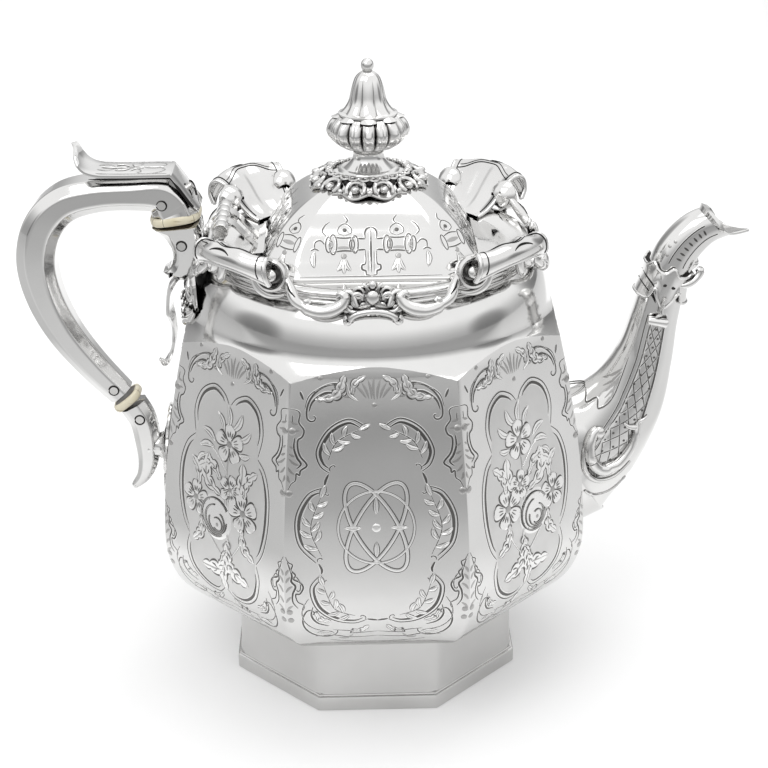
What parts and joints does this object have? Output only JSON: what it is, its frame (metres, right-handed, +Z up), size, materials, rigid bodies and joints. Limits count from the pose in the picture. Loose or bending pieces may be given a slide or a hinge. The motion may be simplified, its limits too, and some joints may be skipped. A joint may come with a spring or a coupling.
{
  "type": "teapot",
  "caption": "Octagonal silver teapot with a round shoulder, cast scroll rim, hinged domed lid with bell flower finial, S spout and scroll handle with two insulating discs.",
  "frame": {"origin": "centre of the foot's underside, on the surface that the pot stands on", "axes": "+X towards the spout, -X towards the handle, +Z up; the XZ plane is the mirror plane"},
  "size_m": [0.2613, 0.1524, 0.2289],
  "materials": {
    "polished_silver": "mirror polished sheet silver",
    "engraved_silver": "polished sheet silver with bright-cut engraving",
    "cast_silver": "cast and chased silver, darker in its recesses",
    "silver_fittings": "worn silver pins and hinge",
    "ivory": "cream insulating disc with fine dark age lines"
  },
  "bodies": {
    "pot": {"foot_band": "polished_silver", "foot_wall": "polished_silver", "body_shell": "engraved_silver", "mouth_bezel": "polished_silver", "rim_shells": "cast_silver", "rim_scrolls": "cast_silver", "rim_volutes": "cast_silver", "rim_cartouches": "cast_silver", "hinge_body_knuckles": "silver_fittings", "hinge_pin": "silver_fittings", "spout_tube": "engraved_silver", "spout_collar": "cast_silver", "spout_base_scrolls": "cast_silver", "upper_mount": "cast_silver", "upper_socket": "polished_silver", "upper_insulator": "ivory", "handle_grip": "polished_silver", "handle_strap": "polished_silver", "lower_insulator": "ivory", "lower_socket": "polished_silver", "lower_plate": "cast_silver", "upper_grip_pin": "silver_fittings", "upper_socket_pin": "silver_fittings", "lower_grip_pin": "silver_fittings", "lower_socket_pin": "silver_fittings", "strap_rivet": "silver_fittings"},
    "lid": {"lid_dome": "engraved_silver", "lid_seat_ring": "polished_silver", "lid_gallery": "cast_silver", "finial_base": "polished_silver", "finial_melon": "cast_silver", "finial_bell": "cast_silver", "finial_ball": "cast_silver", "finial_stud": "silver_fittings", "finial_nut": "silver_fittings", "hinge_lid_knuckles": "silver_fittings"}
  },
  "joints": [
    {"name": "lid_hinge", "type": "hinge", "parent": "pot", "child": "lid", "pos_m": [-0.052, 0, 0.1727], "axis": [0, -1, 0], "range_deg": [0, 95]}
  ]
}
